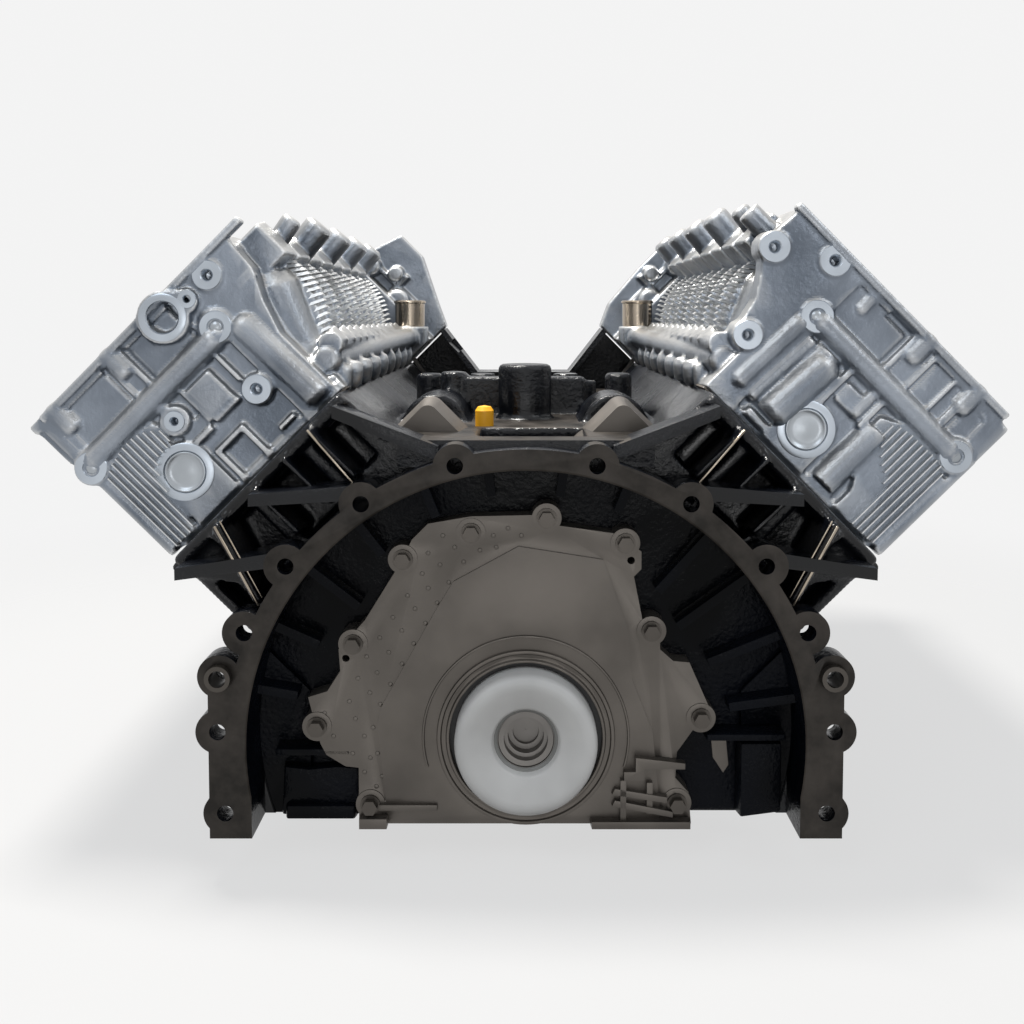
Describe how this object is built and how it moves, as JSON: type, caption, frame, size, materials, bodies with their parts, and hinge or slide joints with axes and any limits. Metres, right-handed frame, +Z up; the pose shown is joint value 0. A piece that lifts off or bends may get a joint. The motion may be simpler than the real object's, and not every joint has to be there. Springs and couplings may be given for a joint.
{
  "type": "v8 engine",
  "caption": "Bare vee engine: ribbed block with half-round clutch flange, two open-top heads with camshafts, crankshaft, pistons and chain drive.",
  "frame": {"origin": "centre of the crankshaft's rear flange face", "axes": "+X to the right seen from the flywheel end, +Y along the crankshaft towards the timing end, +Z up"},
  "size_m": [0.6968, 0.597, 0.4708],
  "materials": {
    "cast_iron_black": "gloss black paint over rough casting",
    "cover_black": "gloss black paint over casting",
    "bare_iron": "machined grey iron",
    "carrier_aluminium": "machined, slightly dull",
    "head_aluminium": "fine blasted casting, machined faces",
    "cap_aluminium": "machined",
    "piston_aluminium": "turned",
    "seal_rubber": "matt black",
    "sleeve_plastic": "frosted white",
    "cap_plastic": "yellow-orange",
    "bolt_steel": "dark phosphated steel",
    "bearing_metal": "plain bearing overlay",
    "valve_steel": "ground steel",
    "spring_steel": "drawn wire",
    "plug_steel": "pressed steel",
    "chain_steel": "hardened steel",
    "forged_steel": "ground journals, rough webs",
    "gasket_steel": "layered sheet steel",
    "stub_steel": "plated tube",
    "cam_iron": "ground lobes",
    "pin_steel": "ground"
  },
  "bodies": {
    "long_block": {"engine_block": "cast_iron_black", "clutch_housing_flange": "cast_iron_black", "rear_seal_carrier": "carrier_aluminium", "rear_crank_seal": "seal_rubber", "seal_fitting_sleeve": "sleeve_plastic", "seal_carrier_bolts": "bolt_steel", "bell_dowels": "bolt_steel", "main_bearing_caps": "bare_iron", "main_cap_bolts": "bolt_steel", "main_bearing_shells": "bearing_metal", "head_bolts": "bolt_steel", "valves": "valve_steel", "valve_springs": "spring_steel", "core_plugs": "plug_steel", "gallery_ball_plugs": "plug_steel", "valley_sensor_cap": "cap_plastic", "timing_cover": "cover_black", "front_crank_seal": "seal_rubber", "camshaft_link_chains": "chain_steel", "crankcase_skirt_left": "cast_iron_black", "cylinder_head_left": "head_aluminium", "cam_box_left": "head_aluminium", "head_gasket_left": "gasket_steel", "cam_caps_left": "cap_aluminium", "timing_chain_left": "chain_steel", "coolant_stub_left": "stub_steel", "crankcase_skirt_right": "cast_iron_black", "cylinder_head_right": "head_aluminium", "cam_box_right": "head_aluminium", "head_gasket_right": "gasket_steel", "cam_caps_right": "cap_aluminium", "timing_chain_right": "chain_steel", "coolant_stub_right": "stub_steel"},
    "crankshaft": {"crankshaft": "forged_steel", "crank_sprocket": "chain_steel"},
    "camshaft_left_intake": {"camshaft_left_intake": "cam_iron", "cam_sprocket_left_intake": "chain_steel"},
    "camshaft_left_exhaust": {"camshaft_left_exhaust": "cam_iron", "cam_sprocket_left_exhaust": "chain_steel"},
    "camshaft_right_intake": {"camshaft_right_intake": "cam_iron", "cam_sprocket_right_intake": "chain_steel"},
    "camshaft_right_exhaust": {"camshaft_right_exhaust": "cam_iron", "cam_sprocket_right_exhaust": "chain_steel"},
    "piston_1": {"piston_1": "piston_aluminium", "gudgeon_pin_1": "pin_steel"},
    "piston_2": {"piston_2": "piston_aluminium", "gudgeon_pin_2": "pin_steel"},
    "piston_3": {"piston_3": "piston_aluminium", "gudgeon_pin_3": "pin_steel"},
    "piston_4": {"piston_4": "piston_aluminium", "gudgeon_pin_4": "pin_steel"},
    "piston_5": {"piston_5": "piston_aluminium", "gudgeon_pin_5": "pin_steel"},
    "piston_6": {"piston_6": "piston_aluminium", "gudgeon_pin_6": "pin_steel"},
    "piston_7": {"piston_7": "piston_aluminium", "gudgeon_pin_7": "pin_steel"},
    "piston_8": {"piston_8": "piston_aluminium", "gudgeon_pin_8": "pin_steel"}
  },
  "joints": [
    {"name": "crank_spin", "type": "hinge", "parent": "long_block", "child": "crankshaft", "pos_m": [0, 0, 0], "axis": [0, 1, 0], "continuous": true},
    {"name": "camshaft_left_intake_spin", "type": "hinge", "parent": "long_block", "child": "camshaft_left_intake", "pos_m": [-0.24296, 0.1, 0.30236], "axis": [0, 1, 0], "continuous": true},
    {"name": "camshaft_left_exhaust_spin", "type": "hinge", "parent": "long_block", "child": "camshaft_left_exhaust", "pos_m": [-0.30236, 0.1, 0.24296], "axis": [0, 1, 0], "continuous": true},
    {"name": "camshaft_right_intake_spin", "type": "hinge", "parent": "long_block", "child": "camshaft_right_intake", "pos_m": [0.24296, 0.1, 0.30236], "axis": [0, 1, 0], "continuous": true},
    {"name": "camshaft_right_exhaust_spin", "type": "hinge", "parent": "long_block", "child": "camshaft_right_exhaust", "pos_m": [0.30236, 0.1, 0.24296], "axis": [0, 1, 0], "continuous": true},
    {"name": "piston_1_slide", "type": "slide", "parent": "long_block", "child": "piston_1", "axis": [0.7071, 0, 0.7071], "range_m": [-0.096, 0]},
    {"name": "piston_2_slide", "type": "slide", "parent": "long_block", "child": "piston_2", "axis": [0.7071, 0, 0.7071], "range_m": [-0.04053, 0.05547]},
    {"name": "piston_3_slide", "type": "slide", "parent": "long_block", "child": "piston_3", "axis": [0.7071, 0, 0.7071], "range_m": [-0.04053, 0.05547]},
    {"name": "piston_4_slide", "type": "slide", "parent": "long_block", "child": "piston_4", "axis": [0.7071, 0, 0.7071], "range_m": [0, 0.096]},
    {"name": "piston_5_slide", "type": "slide", "parent": "long_block", "child": "piston_5", "axis": [-0.7071, 0, 0.7071], "range_m": [-0.04053, 0.05547]},
    {"name": "piston_6_slide", "type": "slide", "parent": "long_block", "child": "piston_6", "axis": [-0.7071, 0, 0.7071], "range_m": [0, 0.096]},
    {"name": "piston_7_slide", "type": "slide", "parent": "long_block", "child": "piston_7", "axis": [-0.7071, 0, 0.7071], "range_m": [-0.096, 0]},
    {"name": "piston_8_slide", "type": "slide", "parent": "long_block", "child": "piston_8", "axis": [-0.7071, 0, 0.7071], "range_m": [-0.04053, 0.05547]}
  ],
  "couplings": [
    {"joint": "camshaft_left_intake_spin", "follows": "crank_spin", "ratio": 0.5},
    {"joint": "camshaft_left_exhaust_spin", "follows": "crank_spin", "ratio": 0.5},
    {"joint": "camshaft_right_intake_spin", "follows": "crank_spin", "ratio": 0.5},
    {"joint": "camshaft_right_exhaust_spin", "follows": "crank_spin", "ratio": 0.5}
  ]
}
